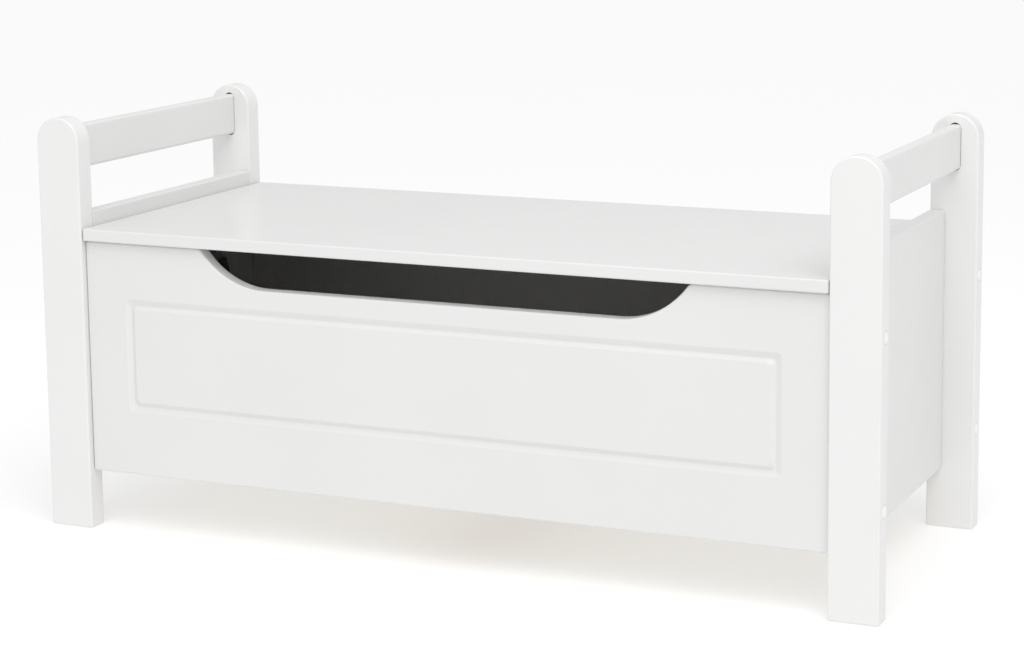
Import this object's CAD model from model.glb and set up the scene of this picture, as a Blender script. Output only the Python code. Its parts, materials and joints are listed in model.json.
"""A white lacquered toy box bench on a pale studio floor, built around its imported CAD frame.

Metres, in the frame's own axes: +X along the length, -Y to the front, +Z up.
Places come from the CAD nodes' boxes; the sizes named below are only for detail on the pieces.
"""
import json
import math

import bpy
from mathutils import Matrix, Vector
from mathutils.geometry import tessellate_polygon
from mathutils.kdtree import KDTree

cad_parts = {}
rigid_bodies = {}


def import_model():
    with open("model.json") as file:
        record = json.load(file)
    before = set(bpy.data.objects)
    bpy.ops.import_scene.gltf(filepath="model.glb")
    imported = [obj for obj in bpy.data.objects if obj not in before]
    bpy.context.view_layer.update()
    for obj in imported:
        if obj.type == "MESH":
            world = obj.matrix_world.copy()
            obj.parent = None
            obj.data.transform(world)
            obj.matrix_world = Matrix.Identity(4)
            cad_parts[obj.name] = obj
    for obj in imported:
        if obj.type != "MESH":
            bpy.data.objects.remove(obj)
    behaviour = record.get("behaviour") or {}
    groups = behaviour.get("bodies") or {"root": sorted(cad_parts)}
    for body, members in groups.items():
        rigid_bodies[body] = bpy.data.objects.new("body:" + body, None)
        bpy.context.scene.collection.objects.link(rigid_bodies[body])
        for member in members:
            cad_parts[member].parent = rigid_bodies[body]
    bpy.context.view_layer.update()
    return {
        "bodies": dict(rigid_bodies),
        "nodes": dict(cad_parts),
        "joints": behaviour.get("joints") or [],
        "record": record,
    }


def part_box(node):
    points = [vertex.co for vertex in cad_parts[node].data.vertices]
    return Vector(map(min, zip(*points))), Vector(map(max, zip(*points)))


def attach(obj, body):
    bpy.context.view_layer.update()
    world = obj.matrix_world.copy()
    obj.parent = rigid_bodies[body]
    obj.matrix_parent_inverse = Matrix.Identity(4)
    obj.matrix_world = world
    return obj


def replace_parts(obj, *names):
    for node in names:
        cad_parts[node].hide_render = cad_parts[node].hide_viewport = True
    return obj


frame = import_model()
NODES = frame["nodes"]
JOINTS = {joint["name"]: joint for joint in frame["record"]["behaviour"]["joints"]}
MM = 0.001

# ---- Camera ----
CAMERA_AT = Vector((1.0605, -2.2672, 0.7266))
CAMERA_TURN_LEFT = 0.4151
CAMERA_LOOK_DOWN = 0.1554
CAMERA_ROLL = 0.0088
CAMERA_LENS = 86.81
CAMERA_SHIFT = (-0.05, -0.12)
CAMERA_SENSOR = 36.0
CAMERA_FAR = 100.0


def make_camera():
    data = bpy.data.cameras.new("camera")
    data.lens = CAMERA_LENS
    data.sensor_width = CAMERA_SENSOR
    data.shift_x, data.shift_y = CAMERA_SHIFT
    data.clip_end = CAMERA_FAR
    camera = bpy.data.objects.new("camera", data)
    bpy.context.scene.collection.objects.link(camera)
    level = Matrix.Rotation(CAMERA_TURN_LEFT, 3, "Z")
    tilt = Matrix.Rotation(math.pi / 2 - CAMERA_LOOK_DOWN, 3, "X")
    roll = Matrix.Rotation(-CAMERA_ROLL, 3, "Z")
    camera.matrix_world = Matrix.Translation(CAMERA_AT) @ (level @ tilt @ roll).to_4x4()
    bpy.context.scene.camera = camera


# ---- Studio ----
def soft_light(name, turn, height, spread, strength):
    """A distant soft light, its turn to the right of the front and its height in degrees."""
    data = bpy.data.lights.new(name, "SUN")
    data.angle = math.radians(spread)
    data.energy = strength
    light = bpy.data.objects.new(name, data)
    bpy.context.scene.collection.objects.link(light)
    across, up = math.radians(turn), math.radians(height)
    source = Vector((math.sin(across) * math.cos(up), -math.cos(across) * math.cos(up), math.sin(up)))
    light.rotation_euler = (-source).to_track_quat("-Z", "Y").to_euler()
    light.location = source * SUN_DISTANCE


def softbox(name, place, size, power):
    """A square soft light that faces the toy box."""
    data = bpy.data.lights.new(name, "AREA")
    data.shape = "SQUARE"
    data.size = size
    data.energy = power
    light = bpy.data.objects.new(name, data)
    bpy.context.scene.collection.objects.link(light)
    light.location = place
    light.rotation_euler = (SOFTBOX_TARGET - light.location).to_track_quat("-Z", "Y").to_euler()


LIGHTS = {
    "key_light": (20, 50, 45, 0.82),
    "right_softbox": ((1.6, -1.3, 2.3), 1.2, 8.0),
    "top_softbox": ((0.3, -0.4, 1.6), 1.0, 4.3),
}
SUN_DISTANCE = 3.0
SOFTBOX_TARGET = Vector((0, 0, 0.25))
FLOOR_REACH = 40.0
WORLD = 0.69
FLOOR_GLOW = 0.42


def make_studio():
    scene = bpy.context.scene
    scene.view_settings.view_transform = "Standard"
    world = bpy.data.worlds.new("studio")
    world.use_nodes = True
    backdrop = world.node_tree.nodes["Background"]
    backdrop.inputs["Color"].default_value = (1, 1, 1, 1)
    backdrop.inputs["Strength"].default_value = WORLD
    scene.world = world
    for name, settings in LIGHTS.items():
        (soft_light if name == "key_light" else softbox)(name, *settings)
    mesh = bpy.data.meshes.new("studio_floor")
    reach = FLOOR_REACH
    corners = [(-reach, -reach, 0), (reach, -reach, 0), (reach, reach, 0), (-reach, reach, 0)]
    mesh.from_pydata(corners, [], [(0, 1, 2, 3)])
    floor = bpy.data.objects.new("studio_floor", mesh)
    bpy.context.scene.collection.objects.link(floor)
    floor.data.materials.append(floor_paint())


# ---- Materials ----
class Paint:
    """A node material with a Principled shader, and short ways to add its texture nodes."""

    def __init__(self, name):
        self.material = bpy.data.materials.new(name)
        self.material.use_nodes = True
        self.tree = self.material.node_tree
        self.shader = self.tree.nodes["Principled BSDF"]
        self.place = self.add("ShaderNodeTexCoord").outputs["Object"]

    def add(self, kind, **settings):
        node = self.tree.nodes.new(kind)
        for key, value in settings.items():
            setattr(node, key, value)
        return node

    def link(self, out, into):
        self.tree.links.new(out, into)

    def set(self, **values):
        for key, value in values.items():
            self.shader.inputs[key.replace("_", " ")].default_value = value

    def stretched(self, scale):
        mapping = self.add("ShaderNodeMapping")
        mapping.inputs["Scale"].default_value = scale
        self.link(self.place, mapping.inputs["Vector"])
        return mapping.outputs["Vector"]

    def noise(self, scale, detail=3.0, roughness=0.5, vector=None):
        node = self.add("ShaderNodeTexNoise")
        node.inputs["Scale"].default_value = scale
        node.inputs["Detail"].default_value = detail
        node.inputs["Roughness"].default_value = roughness
        self.link(vector or self.place, node.inputs["Vector"])
        return node.outputs["Fac"]

    def spread(self, value, low, high, start=0.3, end=0.7):
        node = self.add("ShaderNodeMapRange")
        node.inputs["From Min"].default_value = start
        node.inputs["From Max"].default_value = end
        node.inputs["To Min"].default_value = low
        node.inputs["To Max"].default_value = high
        self.link(value, node.inputs["Value"])
        return node.outputs["Result"]

    def mix(self, factor, first, second):
        node = self.add("ShaderNodeMix", data_type="RGBA")
        self.link(factor, node.inputs[0])
        for colour, socket in ((first, node.inputs[6]), (second, node.inputs[7])):
            if isinstance(colour, tuple):
                socket.default_value = (*colour, 1)
            else:
                self.link(colour, socket)
        return node.outputs[2]

    def bump(self, height, distance, strength=1.0, below=None):
        node = self.add("ShaderNodeBump")
        node.inputs["Distance"].default_value = distance
        node.inputs["Strength"].default_value = strength
        self.link(height, node.inputs["Height"])
        if below is not None:
            self.link(below, node.inputs["Normal"])
        return node.outputs["Normal"]


def floor_paint():
    paint = Paint("studio_floor")
    paint.set(Base_Color=(0.6, 0.6, 0.6, 1), Roughness=0.9)
    paint.shader.inputs["Specular IOR Level"].default_value = 0.0
    paint.set(Emission_Color=(1, 1, 1, 1), Emission_Strength=FLOOR_GLOW)
    return paint.material


def lacquer(name, light, deep, gloss=(0.32, 0.4), waviness=0.5):
    """Sprayed satin lacquer: a faint drift of tone and gloss, fine orange peel and slow waves."""
    paint = Paint(name)
    drift = paint.spread(paint.noise(5.0, 2.0), 0.0, 1.0)
    paint.link(paint.mix(drift, light, deep), paint.shader.inputs["Base Color"])
    mottle = paint.noise(40.0, 3.0)
    paint.link(paint.spread(mottle, *gloss), paint.shader.inputs["Roughness"])
    peel = paint.bump(paint.noise(700.0, 2.0, 0.4), 0.00002, 0.6)
    slow = paint.bump(paint.noise(60.0, 1.0), 0.00006, waviness, below=peel)
    paint.link(slow, paint.shader.inputs["Normal"])
    paint.set(IOR=1.5)
    return paint.material


def floor_board():
    """Matt foil on thin fibreboard: a soft grain print and a fine leathery skin."""
    paint = Paint("floor_board")
    grain = paint.noise(30.0, 4.0, 0.6, paint.stretched((1.0, 6.0, 6.0)))
    colour = paint.mix(paint.spread(grain, 0.0, 1.0), (0.87, 0.83, 0.74), (0.82, 0.78, 0.69))
    paint.link(colour, paint.shader.inputs["Base Color"])
    paint.link(paint.spread(paint.noise(90.0), 0.5, 0.62), paint.shader.inputs["Roughness"])
    paint.link(paint.bump(paint.noise(900.0, 2.0), 0.00003, 0.6), paint.shader.inputs["Normal"])
    return paint.material


def bare_wood():
    """Unfinished beech with its grain along Y, short ray flecks and open end grain."""
    paint = Paint("bare_wood")
    along = paint.stretched((60.0, 2.5, 60.0))
    rings = paint.noise(1.6, 5.0, 0.62, along)
    flecks = paint.noise(9.0, 2.0, 0.5, paint.stretched((40.0, 9.0, 40.0)))
    ground = paint.mix(paint.spread(rings, 0.0, 1.0, 0.35, 0.65), (0.56, 0.37, 0.21), (0.43, 0.26, 0.13))
    colour = paint.mix(paint.spread(flecks, 0.0, 0.35, 0.6, 0.7), ground, (0.34, 0.19, 0.09))
    paint.link(colour, paint.shader.inputs["Base Color"])
    paint.link(paint.spread(rings, 0.55, 0.72), paint.shader.inputs["Roughness"])
    paint.link(paint.bump(rings, 0.0001, 0.5), paint.shader.inputs["Normal"])
    return paint.material


def white_plastic():
    """Moulded caps with a faint cloudiness and a fine satin skin."""
    paint = Paint("white_plastic")
    clouds = paint.spread(paint.noise(220.0, 2.0), 0.0, 1.0)
    paint.link(paint.mix(clouds, (0.90, 0.90, 0.89), (0.87, 0.87, 0.86)), paint.shader.inputs["Base Color"])
    paint.link(paint.spread(paint.noise(500.0), 0.24, 0.32), paint.shader.inputs["Roughness"])
    paint.link(paint.bump(paint.noise(1500.0, 1.0), 0.00001, 0.4), paint.shader.inputs["Normal"])
    paint.set(IOR=1.5)
    return paint.material


def clear_rubber():
    """Soft hazy rubber that lets some light through."""
    paint = Paint("clear_rubber")
    haze = paint.spread(paint.noise(400.0, 3.0), 0.0, 1.0)
    paint.link(paint.mix(haze, (0.86, 0.86, 0.83), (0.78, 0.78, 0.75)), paint.shader.inputs["Base Color"])
    paint.link(paint.spread(paint.noise(700.0), 0.25, 0.4), paint.shader.inputs["Roughness"])
    paint.set(Transmission_Weight=0.6, IOR=1.45)
    return paint.material


def grey_plastic():
    """Moulded nylon with a fine spark-eroded skin."""
    paint = Paint("grey_plastic")
    tone = paint.spread(paint.noise(160.0, 3.0), 0.0, 1.0)
    colour = paint.mix(tone, (0.105, 0.105, 0.105), (0.135, 0.135, 0.135))
    paint.link(colour, paint.shader.inputs["Base Color"])
    skin = paint.noise(2600.0, 2.0)
    paint.link(paint.spread(skin, 0.42, 0.6), paint.shader.inputs["Roughness"])
    paint.link(paint.bump(skin, 0.00004, 0.8), paint.shader.inputs["Normal"])
    paint.set(IOR=1.5)
    return paint.material


def zinc_plate():
    """Bright zinc with cloudy passivation and fine draw lines."""
    paint = Paint("zinc_plate")
    clouds = paint.spread(paint.noise(140.0, 4.0, 0.6), 0.0, 1.0)
    paint.link(paint.mix(clouds, (0.66, 0.67, 0.69), (0.52, 0.53, 0.53)), paint.shader.inputs["Base Color"])
    lines = paint.noise(60.0, 3.0, 0.6, paint.stretched((1.0, 30.0, 30.0)))
    paint.link(paint.spread(lines, 0.26, 0.4), paint.shader.inputs["Roughness"])
    paint.link(paint.bump(lines, 0.00001, 0.5), paint.shader.inputs["Normal"])
    paint.set(Metallic=1.0)
    return paint.material


PANEL_WHITE = ((0.762, 0.762, 0.757), (0.744, 0.744, 0.739))
POST_WHITE = ((0.802, 0.802, 0.797), (0.786, 0.786, 0.781))

FINISHES = {
    "white_lacquer": lacquer("white_lacquer", *PANEL_WHITE),
    "frame_lacquer": lacquer("frame_lacquer", *POST_WHITE, (0.3, 0.38)),
    "seat_lacquer": lacquer("seat_lacquer", *PANEL_WHITE, (0.17, 0.2), 0.15),
    "floor_board": floor_board(),
    "bare_wood": bare_wood(),
    "white_plastic": white_plastic(),
    "clear_rubber": clear_rubber(),
    "grey_plastic": grey_plastic(),
    "zinc_plate": zinc_plate(),
}


# ---- Mesh kit: faces whose corners carry their exact normals, so flats stay flat and roundings smooth ----
X_AXIS, Y_AXIS, Z_AXIS = Vector((1, 0, 0)), Vector((0, 1, 0)), Vector((0, 0, 1))
FACET_LENGTH = MM / 1.2
ARRIS_STEPS = 5
LIP_STEPS = 4
STRAIGHT = 0.999
SAME_SPOT = 2e-6
SAME_WAY = 0.9
WELD_STEP = 1e-7


class Frame:
    """A place and three axes: two for a flat outline and the third for its depth."""

    def __init__(self, origin, u, v, w):
        self.origin = Vector(origin)
        self.axes = [Vector(u), Vector(v), Vector(w)]

    def at(self, flat, depth):
        return self.origin + self.turn(flat, depth)

    def turn(self, flat, depth):
        u, v, w = self.axes
        return u * flat[0] + v * flat[1] + w * depth


class Outline:
    """A loop of plane points, anticlockwise, each with its outward normal."""

    def __init__(self, points, normals):
        self.points = points
        self.normals = normals

    def inset(self, distance):
        moved = [p - n * distance for p, n in zip(self.points, self.normals)]
        return Outline(moved, self.normals)


def steps_round(radius, turn):
    """How many facets an arc needs to look round."""
    return max(4, min(40, math.ceil(abs(turn) * radius / FACET_LENGTH)))


def rounded(corners, closed=True):
    """A loop or open path through (u, v, radius) corners, each rounded by its radius."""
    points, normals = [], []
    last = len(corners) - 1
    for index, (u, v, radius) in enumerate(corners):
        here = Vector((u, v))
        before = Vector(corners[index - 1][:2])
        after = Vector(corners[(index + 1) % len(corners)][:2])
        come, go = (here - before).normalized(), (after - here).normalized()
        if not closed and index in (0, last):
            come = go = go if index == 0 else come
        turn = math.atan2(come.x * go.y - come.y * go.x, come.dot(go))
        side = 1 if turn >= 0 else -1
        start = Vector((come.y, -come.x))
        centre = here - come * radius * math.tan(abs(turn) / 2) - start * radius * side
        count = steps_round(radius, turn) if radius > 0 else 1
        for step in range(count + 1 if turn else 1):
            normal = Matrix.Rotation(turn * step / count, 2) @ start
            points.append(centre + normal * radius * side)
            normals.append(normal)
    return Outline(points, normals)


def rectangle(u0, u1, v0, v1, radius):
    return rounded([(u0, v0, radius), (u1, v0, radius), (u1, v1, radius), (u0, v1, radius)])


def arc(centre, radius, start, end, hollow=False):
    """Points and normals along an arc whose normals turn from one angle to another, in degrees."""
    start, end = math.radians(start), math.radians(end)
    count = steps_round(radius, end - start)
    angles = [start + (end - start) * k / count for k in range(count + 1)]
    normals = [Vector((math.cos(a), math.sin(a))) for a in angles]
    reach = -radius if hollow else radius
    return [Vector(centre) + n * reach for n in normals], normals


def circle(u, v, radius, sides=40):
    normals = [
        Vector((math.cos(2 * math.pi * k / sides), math.sin(2 * math.pi * k / sides)))
        for k in range(sides)
    ]
    return Outline([Vector((u, v)) + n * radius for n in normals], normals)


class Solid:
    def __init__(self):
        self.faces = []

    def face(self, corners):
        start = corners[0][0]
        area, facing = Vector(), Vector()
        for (a, _), (b, _) in zip(corners, corners[1:]):
            area += (a - start).cross(b - start)
        for _, normal in corners:
            facing += normal
        self.faces.append(corners if area.dot(facing) >= 0 else corners[::-1])

    def skin(self, rings, closed=True):
        """Joins rings of (point, normal) corners, one after another."""
        for first, second in zip(rings, rings[1:]):
            count = len(first)
            for a in range(count if closed else count - 1):
                b = (a + 1) % count
                self.face([first[a], first[b], second[b], second[a]])

    def flat(self, loops, normal):
        """Fills a flat outer loop less the loops inside it."""
        points = [point for loop in loops for point in loop]
        for triangle in tessellate_polygon(loops):
            self.face([(points[i], normal) for i in triangle])

    def ring(self, frame, outline, depth, flat_part, deep_part):
        """The outline at a depth, its normals leaning from the outline's own towards the depth axis."""
        return [
            (frame.at(p, depth), frame.turn(n * flat_part, deep_part))
            for p, n in zip(outline.points, outline.normals)
        ]

    def slab(self, frame, outline, low, high, arris, low_holes=(), high_holes=(), side_holes=()):
        """A board: the outline from one depth to another, its long edges rounded by the arris.

        side_holes are (normal, [loops of places]) for holes in the outline's straight edges.
        """
        steps = ARRIS_STEPS
        rings = []
        for end, depth, back in ((-1, low, 1), (1, high, -1)):
            order = range(steps + 1) if end < 0 else range(steps, -1, -1)
            for step in order:
                lean = math.pi / 2 * (1 - step / steps)
                inset = arris * (1 - math.cos(lean))
                level = depth + back * arris * (1 - math.sin(lean))
                loop = outline.inset(inset)
                rings.append(self.ring(frame, loop, level, math.cos(lean), end * math.sin(lean)))
        walls = [(self.wall(outline, normal), holes) for normal, holes in side_holes]
        open_edges = {edge for edge, _ in walls}
        for place, (first, second) in enumerate(zip(rings, rings[1:])):
            for a in range(len(first)):
                if place == steps and a in open_edges:
                    continue
                b = (a + 1) % len(first)
                self.face([first[a], first[b], second[b], second[a]])
        for edge, holes in walls:
            a, b = outline.points[edge], outline.points[(edge + 1) % len(outline.points)]
            border = [(a, low + arris), (b, low + arris), (b, high - arris), (a, high - arris)]
            loops = [[frame.at(p, depth) for p, depth in border], *holes]
            self.flat(loops, frame.turn(outline.normals[edge], 0))
        for end, depth, holes in ((-1, low, low_holes), (1, high, high_holes)):
            loops = [[frame.at(p, depth) for p in outline.inset(arris).points]]
            loops += [[frame.at(p, depth) for p in hole.points] for hole in holes]
            self.flat(loops, frame.turn((0, 0), end))

    def wall(self, outline, normal):
        """The outline's longest straight edge that faces a way."""
        count = len(outline.points)
        facing = [edge for edge in range(count) if outline.normals[edge].dot(Vector(normal)) > STRAIGHT]
        return max(facing, key=lambda e: (outline.points[(e + 1) % count] - outline.points[e]).length)

    def pocket(self, frame, outline, level, facing, depth, lip=0.0, through=False):
        """A blind hole of an outline in a flat face, its mouth rounded by the lip.

        The face's own hole is outline.inset(-lip), and facing is the face's way along the depth axis.
        """
        rings = []
        steps = LIP_STEPS if lip else 0
        for step in range(steps + 1):
            lean = math.pi / 2 * (step / steps if steps else 1)
            loop = outline.inset(-lip * (1 - math.sin(lean)))
            deep = level - facing * lip * (1 - math.cos(lean))
            rings.append(self.ring(frame, loop, deep, -math.sin(lean), facing * math.cos(lean)))
        bottom = level - facing * depth
        rings.append(self.ring(frame, outline, bottom, -1, 0))
        self.skin(rings)
        if not through:
            self.flat([[frame.at(p, bottom) for p in outline.points]], frame.turn((0, 0), facing))

    def lathe(self, frame, profile, sides=48):
        """Turns an open path of (radius, height) round the frame's depth axis."""
        rings = []
        for (radius, height), (out, up) in zip(profile.points, profile.normals):
            spokes = [2 * math.pi * k / sides for k in range(sides)]
            rings.append([
                (
                    frame.at((radius * math.cos(s), radius * math.sin(s)), height),
                    frame.turn((out * math.cos(s), out * math.sin(s)), up),
                )
                for s in spokes
            ])
        self.skin(rings)

    def mesh(self, name):
        places, faces, normals = {}, [], []
        for corners in self.faces:
            face, around = [], []
            for point, normal in corners:
                key = tuple(round(value / WELD_STEP) for value in point)
                index = places.setdefault(key, len(places))
                if index not in face:
                    face.append(index)
                    around.append(normal.normalized())
            if len(face) > 2:
                faces.append(face)
                normals.extend(around)
        mesh = bpy.data.meshes.new(name)
        mesh.from_pydata([[value * WELD_STEP for value in key] for key in places], [], faces)
        mesh.shade_smooth()
        mesh.normals_split_custom_set(normals)
        return mesh


def carved(solid, name, knives):
    """The solid less each knife, with every kept corner's exact normal put back."""
    corners = [corner for face in solid.faces for corner in face]
    known = KDTree(len(corners))
    for index, (point, _) in enumerate(corners):
        known.insert(point, index)
    known.balance()
    things = [bpy.data.objects.new("cut_work", part.mesh("cut_work")) for part in (solid, *knives)]
    for thing in things:
        bpy.context.scene.collection.objects.link(thing)
    for thing in things[1:]:
        cut = things[0].modifiers.new("cut", "BOOLEAN")
        cut.object = thing
        cut.operation = "DIFFERENCE"
        cut.solver = "EXACT"
    graph = bpy.context.evaluated_depsgraph_get()
    mesh = bpy.data.meshes.new_from_object(things[0].evaluated_get(graph))
    for thing in things:
        old = thing.data
        bpy.data.objects.remove(thing)
        bpy.data.meshes.remove(old)
    mesh.name = name
    mesh.shade_smooth()
    normals = []
    for polygon in mesh.polygons:
        for loop in polygon.loop_indices:
            spot = mesh.vertices[mesh.loops[loop].vertex_index].co
            near = [corners[index][1].normalized() for _, index, _ in known.find_range(spot, SAME_SPOT)]
            close = [normal for normal in near if normal.dot(polygon.normal) > SAME_WAY]
            normals.append(max(close, key=lambda n: n.dot(polygon.normal), default=polygon.normal.copy()))
    mesh.normals_split_custom_set(normals)
    return mesh


# ---- Detail sizes; the places and main sizes come from the CAD nodes ----
POST_ARRIS = 2.0 * MM
BOARD_ARRIS = 1.2 * MM
FRONT_ARRIS = 2.0 * MM
RAIL_ARRIS = 3.5 * MM
LID_ARRIS = 1.8 * MM
LID_CORNER = 3.0 * MM
FIT = 0.3 * MM
SLOT_REACH = 1.7 * MM
HOLE_LIP = 0.3 * MM
SLIGHT_ARRIS = 0.8 * MM
NEARLY = 0.9999
COUNTERBORE_DEPTH = 5.0 * MM
CAP_PLUG_ARRIS = 0.3 * MM
CUTOUT_FLOOR = 265.5 * MM
CUTOUT_FLAT_HALF = 190.5 * MM
CUTOUT_RADIUS = 89.0 * MM
CUTOUT_LIP_RADIUS = 8.0 * MM
GROOVE_HALF_LENGTH = 354.0 * MM
GROOVE_BOTTOM = 128.0 * MM
GROOVE_TOP = 246.0 * MM
GROOVE_WIDTH = 10.6 * MM
GROOVE_DEPTH = 2.4 * MM
GROOVE_OUTER_SLOPE = 5.6 * MM
GROOVE_INNER_SLOPE = 4.0 * MM
GROOVE_CORNER = 5.0 * MM
GROOVE_MARGIN = 1.0 * MM
GROOVE_INNER_BROW = 0.9 * MM
GROOVE_INNER_FOOT = 1.6 * MM
GROOVE_OUTER_FOOT = 2.2 * MM
GROOVE_OUTER_BROW = 2.6 * MM
FLOOR_TONGUE = 6.0 * MM
FLOOR_GROOVE_STOP = 6.0 * MM
FLOOR_TONGUE_STOP = 8.0 * MM
FLOOR_GAP = 0.1 * MM
BATTEN_CORNER = 1.5 * MM
BUMPER_FOOT = 0.02 * MM
BUMPER_WAIST = 0.4
BUMPER_WAIST_RADIUS = 0.25 * MM
BUMPER_TAPER = 0.6 * MM
BUMPER_SHOULDER = 1.2 * MM
SHEET_ARRIS = 0.25 * MM
SHEET_LIP = 0.1 * MM
PIN_RADIUS = 1.0 * MM
PIN_PLAY = 0.1 * MM
PIN_END = 0.4 * MM
KNUCKLE_RADIUS = 3.0 * MM
KNUCKLE_SPLIT = 8.85 * MM
KNUCKLE_ROOT = -1.6 * MM
LEAF_GAP = 0.15 * MM
LEAF_THICKNESS = 1.2 * MM
LEAF_REACH = 15.5 * MM
LEAF_CORNER = 2.5 * MM
MORTISE_PLAY = 0.2 * MM
MORTISE_DEPTH = 4 * MM
MORTISE_OVERRUN = 2 * MM
CUT_ARRIS = 0.1 * MM
SCREW_HEAD_RADIUS = 2.7 * MM
SCREW_HEAD_PLAY = 0.15 * MM
SCREW_HOLE_DEPTH = 0.9 * MM
SCREW_SINK = 1.2 * MM
SCREW_SHANK = 1.5 * MM
SCREW_POINT = 2 * MM
SCREW_ROUND = 0.3 * MM
SCREW_RIM = 0.12 * MM
SCREW_FACE = 0.85
CROSS_REACH = 1.5 * MM
CROSS_HALF_WIDTH = 0.33 * MM
CROSS_ROUND = 0.1 * MM
CROSS_DEPTH = 0.9 * MM
LARGE_SIDES = 40
MEDIUM_SIDES = 32
SCREW_HOLE_SIDES = 28
SMALL_SIDES = 24

ARM_HALF_WIDTH = 6.0 * MM
ARM_HALF_THICKNESS = 1.0 * MM
ARM_ARRIS = 0.3 * MM
ARM_EYE_RADIUS = 2.6 * MM
ARM_EYE_LIP = 0.2 * MM
STOP_HALF_WIDTH = 8.0 * MM
STOP_LENGTH = 4.0 * MM
STOP_PLAY = 0.5 * MM
STOP_INNER_CORNER = 0.5 * MM
STOP_NEAR_CORNER = 0.8 * MM
STOP_FAR_CORNER = 1.2 * MM
BRACKET_SHEET = 1.5 * MM
BRACKET_PLAY = 0.5 * MM
BRACKET_BEND = 1.0 * MM
BRACKET_MARGIN = 2.0 * MM
EAR_HALF_WIDTH = 7.0 * MM
EAR_CUT_INSIDE = 1.0 * MM
EAR_CUT_OUTSIDE = 0.9 * MM
EAR_CUT_TOP = 1.5 * MM
BRACKET_HOLE_BOTTOM = 1.0 * MM
BRACKET_HOLE_TOP = 1.1 * MM
BRACKET_HOLE_ARRIS = 0.05 * MM
RIVET_RADIUS = 2.4 * MM
RIVET_HEAD_RADIUS = 4.0 * MM
RIVET_HEAD_HEIGHT = 1.2 * MM
RIVET_HEAD_ROUND = 0.8 * MM
RIVET_HEAD_EDGE = 0.15 * MM
RIVET_TAIL_RADIUS = 3.2 * MM
RIVET_TAIL_HEIGHT = 1.0 * MM
RIVET_TAIL_ROUND = 0.7 * MM
RIVET_TAIL_SINK = 0.05 * MM
GUIDE_HALF_LENGTH = 11.0 * MM
GUIDE_HALF_WIDTH = 9.0 * MM
GUIDE_CORNER = 3.0 * MM
GUIDE_ARRIS = 1.0 * MM
GUIDE_SLACK = 0.4 * MM
GUIDE_OVERRUN = 3.0 * MM
GUIDE_SLOT_CORNER = 0.3 * MM

HINGE_PIN = Vector(JOINTS["lid_hinge"]["pos_m"])
STAY_EYE = Vector(JOINTS["stay_arm_pivot"]["pos_m"])
STAY_PIVOT = Vector(JOINTS["stay_guide_pivot"]["pos_m"])
STAY_UP = (STAY_EYE - STAY_PIVOT).normalized()
STAY_BACK = STAY_UP.cross(X_AXIS)
STAY_RADIUS = (HINGE_PIN - STAY_PIVOT).yz.length
STAY_CLOSED = 2 * math.asin((STAY_EYE - STAY_PIVOT).length / (2 * STAY_RADIUS))
STAY_OPEN = STAY_CLOSED + math.radians(JOINTS["lid_hinge"]["range_deg"][1])
STAY_LENGTH = 2 * STAY_RADIUS * math.sin(STAY_OPEN / 2) + GUIDE_HALF_LENGTH + STOP_PLAY

EXTENT = {name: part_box(name) for name in NODES}
INNER_X = EXTENT["side_panel_right"][0].x
INNER_Y = EXTENT["back_panel"][0].y
LEAF_LENGTH = EXTENT["hinge_left_fixed_leaf"][1].x - EXTENT["hinge_left_fixed_leaf"][0].x
BODIES = frame["record"]["behaviour"]["bodies"]


def middle(node):
    low, high = EXTENT[node]
    return (low + high) / 2


def show(name, mesh, slot, body, finish=None):
    shown = bpy.data.objects.new(f"{name}_piece", mesh)
    mesh.materials.append(FINISHES[finish or slot])
    bpy.context.scene.collection.objects.link(shown)
    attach(shown, body)
    return shown


def piece(node, mesh, slot, finish=None):
    """Puts a finished piece in its CAD node's place."""
    body = next(name for name, members in BODIES.items() if node in members)
    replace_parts(show(node, mesh, slot, body, finish), node)


# ---- Posts, rails and their caps ----
def make_post(node, rail, caps):
    low, high = EXTENT[node]
    x_side = math.copysign(1, low.x)
    y_side = math.copysign(1, low.y)
    inner = low.y if y_side > 0 else high.y
    half = (high.x - low.x) / 2
    frame = Frame((middle(node).x, inner, 0), X_AXIS, Z_AXIS, Y_AXIS * y_side)
    top = high.z
    outline = rounded([
        (-half, 0, POST_ARRIS),
        (half, 0, POST_ARRIS),
        (half, top, half * NEARLY),
        (-half, top, half * NEARLY),
    ])
    rail_low, rail_high = EXTENT[rail]
    slot_radius = (rail_high.x - rail_low.x) / 2 + FIT
    slot = rectangle(
        -slot_radius,
        slot_radius,
        rail_low.z - SLOT_REACH,
        rail_high.z + SLOT_REACH,
        slot_radius * NEARLY,
    )
    tenon = rail_high.y - abs(inner) + FIT
    side = Frame((high.x if x_side > 0 else low.x, inner, 0), Z_AXIS, Y_AXIS * y_side, X_AXIS * x_side)
    bores = []
    for cap in caps:
        cap_low, cap_high = EXTENT[cap]
        spot = middle(cap)
        radius = (cap_high.z - cap_low.z) / 2 + FIT
        bores.append(circle(spot.z, abs(spot.y - inner), radius))
    mouths = [[side.at(p, 0) for p in bore.inset(-HOLE_LIP).points] for bore in bores]
    solid = Solid()
    solid.slab(
        frame,
        outline,
        0,
        high.y - low.y,
        POST_ARRIS,
        low_holes=[slot.inset(-HOLE_LIP)],
        side_holes=[((x_side, 0), mouths)],
    )
    solid.pocket(frame, slot, 0, -1, tenon, HOLE_LIP)
    for bore in bores:
        solid.pocket(side, bore, 0, 1, COUNTERBORE_DEPTH, HOLE_LIP)
    piece(node, solid.mesh(node), "white_lacquer", "frame_lacquer")


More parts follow.
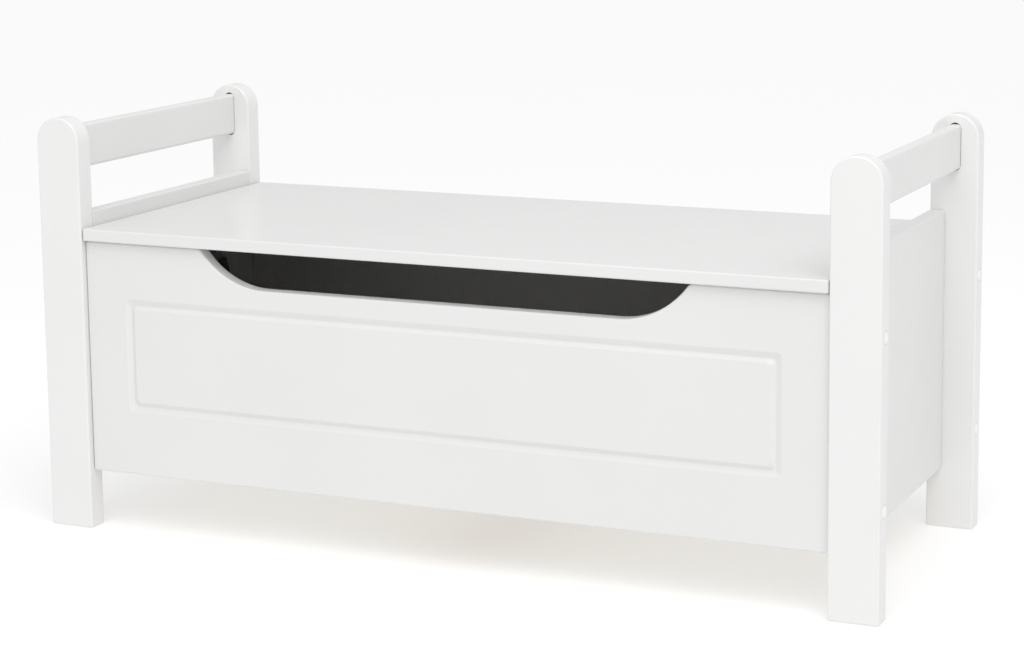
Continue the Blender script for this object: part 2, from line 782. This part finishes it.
def make_cap(node):
    low, high = EXTENT[node]
    x_side = math.copysign(1, low.x)
    radius = (high.z - low.z) / 2
    outer = high.x if x_side > 0 else low.x
    plug = high.x - low.x
    post_face = abs(EXTENT["post_front_right"][1].x)
    rise = abs(outer) - post_face
    ball = (radius**2 + rise**2) / (2 * rise)
    lean = math.degrees(math.asin(radius / ball))
    rim = math.sqrt(ball**2 - radius**2) - ball
    plug_path = rounded([(0, -plug, 0), (radius, -plug, CAP_PLUG_ARRIS), (radius, rim, 0)], closed=False)
    points, normals = arc((0, -ball), ball, 90 - lean, 90)
    profile = Outline(plug_path.points + points, plug_path.normals + normals)
    frame = Frame((outer, middle(node).y, middle(node).z), Y_AXIS, Z_AXIS, X_AXIS * x_side)
    solid = Solid()
    solid.lathe(frame, profile)
    piece(node, solid.mesh(node), "white_plastic")


def make_rail(node):
    low, high = EXTENT[node]
    frame = Frame((0, 0, 0), X_AXIS, Z_AXIS, Y_AXIS)
    solid = Solid()
    outline = rectangle(low.x, high.x, low.z, high.z, RAIL_ARRIS)
    solid.slab(frame, outline, low.y, high.y, SLIGHT_ARRIS)
    piece(node, solid.mesh(node), "white_lacquer")


# ---- Panels, with the grooves that hold the floor ----
def floor_groove(reach):
    low, high = EXTENT["floor_panel"]
    return rectangle(-reach, reach, low.z - FIT, high.z + FIT, FIT)


GROOVE_ROOM = FLOOR_TONGUE + 2 * FIT


def make_side_panel(node):
    low, high = EXTENT[node]
    x_side = math.copysign(1, low.x)
    inner = low.x if x_side > 0 else high.x
    frame = Frame((inner, 0, 0), Y_AXIS, Z_AXIS, X_AXIS * x_side)
    outline = rectangle(low.y, high.y, low.z, high.z, BOARD_ARRIS)
    groove = floor_groove(high.y - FLOOR_GROOVE_STOP)
    solid = Solid()
    solid.slab(frame, outline, 0, high.x - low.x, BOARD_ARRIS, low_holes=[groove])
    solid.pocket(frame, groove, 0, -1, GROOVE_ROOM)
    piece(node, solid.mesh(node), "white_lacquer")


def front_outline(reach, bottom, top):
    """The panel with its wide cutout, whose ends are large arcs with a small lip at the top edge."""
    arc_z = CUTOUT_FLOOR + CUTOUT_RADIUS
    lip_z = top - CUTOUT_LIP_RADIUS
    both = CUTOUT_RADIUS + CUTOUT_LIP_RADIUS
    lean = math.asin((arc_z - lip_z) / both)
    lip_x = CUTOUT_FLAT_HALF + both * math.cos(lean)
    lean = math.degrees(lean)
    runs = [
        arc((-reach + FRONT_ARRIS, bottom + FRONT_ARRIS), FRONT_ARRIS, 180, 270),
        arc((reach - FRONT_ARRIS, bottom + FRONT_ARRIS), FRONT_ARRIS, 270, 360),
        arc((reach - FRONT_ARRIS, top - FRONT_ARRIS), FRONT_ARRIS, 0, 90),
        arc((lip_x, lip_z), CUTOUT_LIP_RADIUS, 90, 180 - lean),
        arc((CUTOUT_FLAT_HALF, arc_z), CUTOUT_RADIUS, 180 - lean, 90, hollow=True),
        arc((-CUTOUT_FLAT_HALF, arc_z), CUTOUT_RADIUS, 90, lean, hollow=True),
        arc((-lip_x, lip_z), CUTOUT_LIP_RADIUS, lean, 90),
        arc((-reach + FRONT_ARRIS, top - FRONT_ARRIS), FRONT_ARRIS, 90, 180),
    ]
    return Outline([p for run in runs for p in run[0]], [n for run in runs for n in run[1]])


def groove_loop(inset):
    return rectangle(
        -GROOVE_HALF_LENGTH + inset,
        GROOVE_HALF_LENGTH - inset,
        GROOVE_BOTTOM + inset,
        GROOVE_TOP - inset,
        GROOVE_CORNER,
    )


def make_front_panel(node):
    low, high = EXTENT[node]
    frame = Frame((0, high.y, 0), X_AXIS, Z_AXIS, -Y_AXIS)
    thick = high.y - low.y
    groove = floor_groove(high.x - FLOOR_GROOVE_STOP)
    section = rounded([
        (GROOVE_WIDTH + GROOVE_MARGIN, 0, 0),
        (GROOVE_WIDTH, 0, GROOVE_INNER_BROW),
        (GROOVE_WIDTH - GROOVE_INNER_SLOPE, -GROOVE_DEPTH, GROOVE_INNER_FOOT),
        (GROOVE_OUTER_SLOPE, -GROOVE_DEPTH, GROOVE_OUTER_FOOT),
        (0, 0, GROOVE_OUTER_BROW),
        (-GROOVE_MARGIN, 0, 0),
    ], closed=False)
    solid = Solid()
    solid.slab(
        frame,
        front_outline(high.x, low.z, high.z),
        0,
        thick,
        FRONT_ARRIS,
        low_holes=[groove],
        high_holes=[groove_loop(-GROOVE_MARGIN)],
    )
    solid.pocket(frame, groove, 0, -1, GROOVE_ROOM)
    rings = []
    for (inset, height), (inward, up) in zip(section.points, section.normals):
        rings.append(solid.ring(frame, groove_loop(inset), thick + height, -inward, up))
    solid.skin(rings)
    field = groove_loop(GROOVE_WIDTH + GROOVE_MARGIN)
    solid.flat([[frame.at(p, thick) for p in field.points]], -Y_AXIS)
    piece(node, solid.mesh(node), "white_lacquer")


def hinge_knives(z_side):
    """What the wood loses for a leaf: its mortise and the room for the knuckles."""
    half = LEAF_LENGTH / 2 + FIT
    bed = z_side * (LEAF_GAP + LEAF_THICKNESS + MORTISE_PLAY)
    room = circle(0, 0, KNUCKLE_RADIUS + FIT + PIN_PLAY)
    knives = []
    for node in ("hinge_left_pin", "hinge_right_pin"):
        centre = Vector((middle(node).x, HINGE_PIN.y, HINGE_PIN.z))
        frame = Frame(centre, Y_AXIS, Z_AXIS, X_AXIS)
        mortise, round_room = Solid(), Solid()
        low, high = sorted((-z_side * MORTISE_DEPTH, bed))
        outline = rectangle(-LEAF_REACH - FIT, KNUCKLE_RADIUS + MORTISE_OVERRUN, low, high, MORTISE_PLAY)
        mortise.slab(frame, outline, -half, half, MORTISE_PLAY)
        round_room.slab(frame, room, -half, half, CUT_ARRIS)
        knives += [mortise, round_room]
    return knives


def make_back_panel(node):
    low, high = EXTENT[node]
    frame = Frame((0, low.y, 0), X_AXIS, Z_AXIS, Y_AXIS)
    outline = rectangle(low.x, high.x, low.z, high.z, BOARD_ARRIS)
    groove = floor_groove(high.x - FLOOR_GROOVE_STOP)
    solid = Solid()
    solid.slab(frame, outline, 0, high.y - low.y, BOARD_ARRIS, low_holes=[groove])
    solid.pocket(frame, groove, 0, -1, GROOVE_ROOM)
    piece(node, carved(solid, node, hinge_knives(-1)), "white_lacquer")


def make_floor(node):
    low, high = EXTENT[node]
    x0, x1 = INNER_X - FLOOR_TONGUE_STOP, INNER_X - FLOOR_GAP
    y0, y1 = INNER_Y - FLOOR_TONGUE_STOP, INNER_Y - FLOOR_GAP
    quarter = [
        (INNER_X + FLOOR_TONGUE, y0, FLOOR_GAP * 2),
        (x1, y0, FLOOR_GAP),
        (x1, y1, FLOOR_GAP * 2),
        (x0, y1, FLOOR_GAP),
        (x0, INNER_Y + FLOOR_TONGUE, FLOOR_GAP * 2),
    ]
    corners = quarter[:]
    corners += [(-x, y, r) for x, y, r in quarter[::-1]]
    corners += [(-x, -y, r) for x, y, r in quarter]
    corners += [(x, -y, r) for x, y, r in quarter[::-1]]
    solid = Solid()
    frame = Frame((0, 0, 0), X_AXIS, Y_AXIS, Z_AXIS)
    solid.slab(frame, rounded(corners), low.z, high.z, FLOOR_GAP)
    piece(node, solid.mesh(node), "floor_board")


def make_batten(node):
    low, high = EXTENT[node]
    frame = Frame((0, 0, 0), X_AXIS, Z_AXIS, Y_AXIS)
    solid = Solid()
    outline = rectangle(low.x, high.x, low.z, high.z, BATTEN_CORNER)
    solid.slab(frame, outline, low.y, high.y, SLIGHT_ARRIS)
    piece(node, solid.mesh(node), "bare_wood")


# ---- Lid and its bumpers ----
def make_lid(node):
    low, high = EXTENT[node]
    frame = Frame((0, 0, 0), X_AXIS, Y_AXIS, Z_AXIS)
    solid = Solid()
    outline = rectangle(low.x, high.x, low.y, high.y, LID_CORNER)
    solid.slab(frame, outline, low.z, high.z, LID_ARRIS)
    piece(node, carved(solid, node, hinge_knives(1)), "white_lacquer", "seat_lacquer")


def make_bumper(node):
    low, high = EXTENT[node]
    centre = middle(node)
    radius = (high.x - low.x) / 2
    height = high.z - low.z
    profile = rounded([
        (0, 0, 0),
        (radius, 0, BUMPER_FOOT),
        (radius, height * BUMPER_WAIST, BUMPER_WAIST_RADIUS),
        (radius - BUMPER_TAPER, height, BUMPER_SHOULDER),
        (0, height, 0),
    ], closed=False)
    solid = Solid()
    solid.lathe(Frame((centre.x, centre.y, low.z), X_AXIS, Y_AXIS, Z_AXIS), profile)
    piece(node, solid.mesh(node), "clear_rubber")


# ---- Hinges and screws ----
def make_leaf(node, z_side):
    centre = Vector((middle(node).x, HINGE_PIN.y, HINGE_PIN.z))
    half = LEAF_LENGTH / 2
    outer, inner = KNUCKLE_ROOT, -KNUCKLE_RADIUS - FIT
    if z_side < 0:
        step = KNUCKLE_SPLIT + FIT / 2
        spans = [(-half, -step), (step, half)]
    else:
        step = KNUCKLE_SPLIT - FIT / 2
        spans = [(-step, step)]
        outer, inner = inner, outer
    edge = [(half, outer), (step, outer), (step, inner), (-step, inner), (-step, outer), (-half, outer)]
    corners = [(-half, -LEAF_REACH, LEAF_CORNER), (half, -LEAF_REACH, LEAF_CORNER)]
    corners += [(u, v, SHEET_ARRIS) for u, v in edge]
    inside, outside = sorted((z_side * LEAF_GAP, z_side * (LEAF_GAP + LEAF_THICKNESS)))
    screws = [name for name in NODES if name.startswith(node[:-4] + "screw")]
    holes = []
    for name in screws:
        spot = middle(name) - centre
        holes.append(circle(spot.x, spot.y, SCREW_HEAD_RADIUS + SCREW_HEAD_PLAY, SCREW_HOLE_SIDES))
    frame = Frame(centre, X_AXIS, Y_AXIS, Z_AXIS)
    solid = Solid()
    mouths = [hole.inset(-SHEET_LIP) for hole in holes]
    holed_face = "high_holes" if z_side < 0 else "low_holes"
    solid.slab(frame, rounded(corners), inside, outside, SHEET_ARRIS, **{holed_face: mouths})
    for hole in holes:
        solid.pocket(frame, hole, z_side * LEAF_GAP, -z_side, SCREW_HOLE_DEPTH, SHEET_LIP)
    barrel = Frame(centre, Y_AXIS, Z_AXIS, X_AXIS)
    for start, end in spans:
        ring = rectangle(PIN_RADIUS + PIN_PLAY, KNUCKLE_RADIUS, start, end, SHEET_ARRIS)
        profile = Outline(ring.points + ring.points[:1], ring.normals + ring.normals[:1])
        solid.lathe(barrel, profile, LARGE_SIDES)
    piece(node, solid.mesh(node), "zinc_plate")


def make_pin(node):
    low, high = EXTENT[node]
    frame = Frame(middle(node), Y_AXIS, Z_AXIS, X_AXIS)
    half = (high.x - low.x) / 2
    profile = rounded([
        (0, -half, 0),
        (PIN_RADIUS, -half, PIN_END),
        (PIN_RADIUS, half, PIN_END),
        (0, half, 0),
    ], closed=False)
    solid = Solid()
    solid.lathe(frame, profile, SMALL_SIDES)
    piece(node, solid.mesh(node), "zinc_plate")


def make_screw(node, facing):
    """A countersunk cross-head screw whose head faces up or down."""
    low, high = EXTENT[node]
    head = high.z if facing > 0 else low.z
    centre = middle(node)
    frame = Frame((centre.x, centre.y, head), X_AXIS, Y_AXIS, Z_AXIS * facing)
    length = high.z - low.z
    face = SCREW_HEAD_RADIUS * SCREW_FACE
    profile = rounded([
        (0, -length, 0),
        (SCREW_SHANK, -length + SCREW_POINT, SCREW_ROUND),
        (SCREW_SHANK, -SCREW_SINK, SCREW_ROUND),
        (SCREW_HEAD_RADIUS, 0, SCREW_RIM),
        (face, 0, 0),
    ], closed=False)
    solid = Solid()
    solid.lathe(frame, profile, MEDIUM_SIDES)
    a, b, r = CROSS_REACH, CROSS_HALF_WIDTH, CROSS_ROUND
    cross = rounded([
        (a, -b, r), (a, b, r), (b, b, r), (b, a, r), (-b, a, r), (-b, b, r),
        (-a, b, r), (-a, -b, r), (-b, -b, r), (-b, -a, r), (b, -a, r), (b, -b, r),
    ])
    loops = [circle(0, 0, face, MEDIUM_SIDES), cross]
    solid.flat([[frame.at(p, 0) for p in loop.points] for loop in loops], Z_AXIS * facing)
    solid.pocket(frame, cross, 0, 1, CROSS_DEPTH)
    piece(node, solid.mesh(node), "zinc_plate")


# ---- The lid's stay ----
def make_bracket(node):
    """A bent angle: a flange under the lid and a round-ended ear beside the arm."""
    low, high = EXTENT[node]
    frame = Frame(STAY_EYE, X_AXIS, Z_AXIS, -Y_AXIS)
    half = (high.y - low.y) / 2
    near = ARM_HALF_THICKNESS + BRACKET_PLAY
    far = near + BRACKET_SHEET
    reach = high.x - STAY_EYE.x
    top = high.z - STAY_EYE.z
    under = top - BRACKET_SHEET
    solid = Solid()
    outline = rounded([
        (near, -EAR_HALF_WIDTH, SHEET_ARRIS),
        (far, -EAR_HALF_WIDTH, SHEET_ARRIS),
        (far, under, BRACKET_BEND),
        (reach, under, SHEET_ARRIS),
        (reach, top, SHEET_ARRIS),
        (near, top, BRACKET_BEND + BRACKET_SHEET),
    ])
    solid.slab(frame, outline, -half, half, SHEET_ARRIS)
    beyond = half + BRACKET_MARGIN
    shoulder = under - EAR_CUT_TOP
    outside = rounded([
        (-beyond, -EAR_HALF_WIDTH - BRACKET_MARGIN, CUT_ARRIS),
        (beyond, -EAR_HALF_WIDTH - BRACKET_MARGIN, CUT_ARRIS),
        (beyond, shoulder, CUT_ARRIS),
        (EAR_HALF_WIDTH, shoulder, CUT_ARRIS),
        (EAR_HALF_WIDTH, -EAR_HALF_WIDTH, EAR_HALF_WIDTH * NEARLY),
        (-EAR_HALF_WIDTH, -EAR_HALF_WIDTH, EAR_HALF_WIDTH * NEARLY),
        (-EAR_HALF_WIDTH, shoulder, CUT_ARRIS),
        (-beyond, shoulder, CUT_ARRIS),
    ])
    waste = Solid()
    side = Frame(STAY_EYE, Y_AXIS, Z_AXIS, X_AXIS)
    waste.slab(side, outside, near - EAR_CUT_INSIDE, far + EAR_CUT_OUTSIDE, CUT_ARRIS)
    knives = [waste]
    ring = circle(0, 0, SCREW_HEAD_RADIUS + SCREW_HEAD_PLAY, SCREW_HOLE_SIDES)
    for name in ("stay_screw_front", "stay_screw_rear"):
        place = Frame((middle(name).x, middle(name).y, STAY_EYE.z + under), X_AXIS, Y_AXIS, Z_AXIS)
        hole = Solid()
        hole.slab(place, ring, -BRACKET_HOLE_BOTTOM, BRACKET_HOLE_TOP, BRACKET_HOLE_ARRIS)
        knives.append(hole)
    piece(node, carved(solid, node, knives), "zinc_plate")


def make_rivet():
    """The rivet that the arm's eye turns on, headed against the arm and spread behind the ear."""
    near = ARM_HALF_THICKNESS + BRACKET_PLAY
    far = near + BRACKET_SHEET
    tail = far - RIVET_TAIL_SINK
    profile = rounded([
        (0, -near - RIVET_HEAD_HEIGHT, 0),
        (RIVET_HEAD_RADIUS, -near - RIVET_HEAD_HEIGHT, RIVET_HEAD_ROUND),
        (RIVET_HEAD_RADIUS, -near, RIVET_HEAD_EDGE),
        (RIVET_RADIUS, -near, 0),
        (RIVET_RADIUS, tail, 0),
        (RIVET_TAIL_RADIUS, tail, RIVET_TAIL_SINK),
        (RIVET_TAIL_RADIUS, far + RIVET_TAIL_HEIGHT, RIVET_TAIL_ROUND),
        (0, far + RIVET_TAIL_HEIGHT, 0),
    ], closed=False)
    solid = Solid()
    solid.lathe(Frame(STAY_EYE, Y_AXIS, Z_AXIS, X_AXIS), profile, LARGE_SIDES)
    show("stay_rivet", solid.mesh("stay_rivet"), "zinc_plate", "lid")


def make_arm(node):
    low, high = EXTENT[node]
    frame = Frame(STAY_EYE, STAY_BACK, STAY_UP, X_AXIS)
    half, stop_half = ARM_HALF_WIDTH, STOP_HALF_WIDTH
    stop = -STAY_LENGTH
    tip = stop - STOP_LENGTH
    outline = rounded([
        (-half, half, half * NEARLY),
        (-half, stop, STOP_INNER_CORNER),
        (-stop_half, stop, STOP_NEAR_CORNER),
        (-stop_half, tip, STOP_FAR_CORNER),
        (stop_half, tip, STOP_FAR_CORNER),
        (stop_half, stop, STOP_NEAR_CORNER),
        (half, stop, STOP_INNER_CORNER),
        (half, half, half * NEARLY),
    ])
    eye = circle(0, 0, ARM_EYE_RADIUS, MEDIUM_SIDES)
    thick = (high.x - low.x) / 2
    solid = Solid()
    mouth = eye.inset(-ARM_EYE_LIP)
    solid.slab(frame, outline, -thick, thick, ARM_ARRIS, low_holes=[mouth], high_holes=[mouth])
    for facing in (-1, 1):
        solid.pocket(frame, eye, facing * thick, facing, thick, ARM_EYE_LIP, through=True)
    piece(node, solid.mesh(node), "zinc_plate")


def make_guide(node):
    """A small moulded block with a channel that the arm slides through."""
    low, high = EXTENT[node]
    wide, long = GUIDE_HALF_WIDTH, GUIDE_HALF_LENGTH
    frame = Frame((0, STAY_PIVOT.y, STAY_PIVOT.z), STAY_BACK, STAY_UP, X_AXIS)
    body = Solid()
    body.slab(frame, rectangle(-wide, wide, -long, long, GUIDE_CORNER), low.x, high.x, GUIDE_ARRIS)
    tunnel = Frame(STAY_PIVOT, X_AXIS, STAY_BACK, STAY_UP)
    across, along = ARM_HALF_THICKNESS + GUIDE_SLACK, ARM_HALF_WIDTH + GUIDE_SLACK
    reach = long + GUIDE_OVERRUN
    channel = Solid()
    slot = rectangle(-across, across, -along, along, GUIDE_SLOT_CORNER)
    channel.slab(tunnel, slot, -reach, reach, CUT_ARRIS)
    piece(node, carved(body, node, [channel]), "grey_plastic")


# ---- The whole toy box ----
make_camera()
make_studio()
for side in ("left", "right"):
    for end in ("front", "rear"):
        caps = [f"bolt_cap_{end}_{side}_{level}" for level in ("lower", "upper")]
        make_post(f"post_{end}_{side}", f"hand_rail_{side}", caps)
        for cap in caps:
            make_cap(cap)
    make_rail(f"hand_rail_{side}")
    make_side_panel(f"side_panel_{side}")
    make_bumper(f"lid_bumper_{side}")
    for leaf, z_side in (("fixed", -1), ("lid", 1)):
        make_leaf(f"hinge_{side}_{leaf}_leaf", z_side)
        for place in ("outer", "inner"):
            make_screw(f"hinge_{side}_{leaf}_screw_{place}", -z_side)
    make_pin(f"hinge_{side}_pin")
make_front_panel("front_panel")
make_back_panel("back_panel")
make_floor("floor_panel")
make_batten("floor_batten")
make_lid("lid")
make_bracket("stay_bracket")
make_rivet()
make_screw("stay_screw_front", -1)
make_screw("stay_screw_rear", -1)
make_arm("stay_arm")
make_guide("stay_guide")

SLOTS = {part["node"]: part["material_slot"] for part in frame["record"]["subparts"]}
for name, node in NODES.items():
    if not node.hide_render:
        node.data.materials.clear()
        node.data.materials.append(FINISHES[SLOTS[name]])
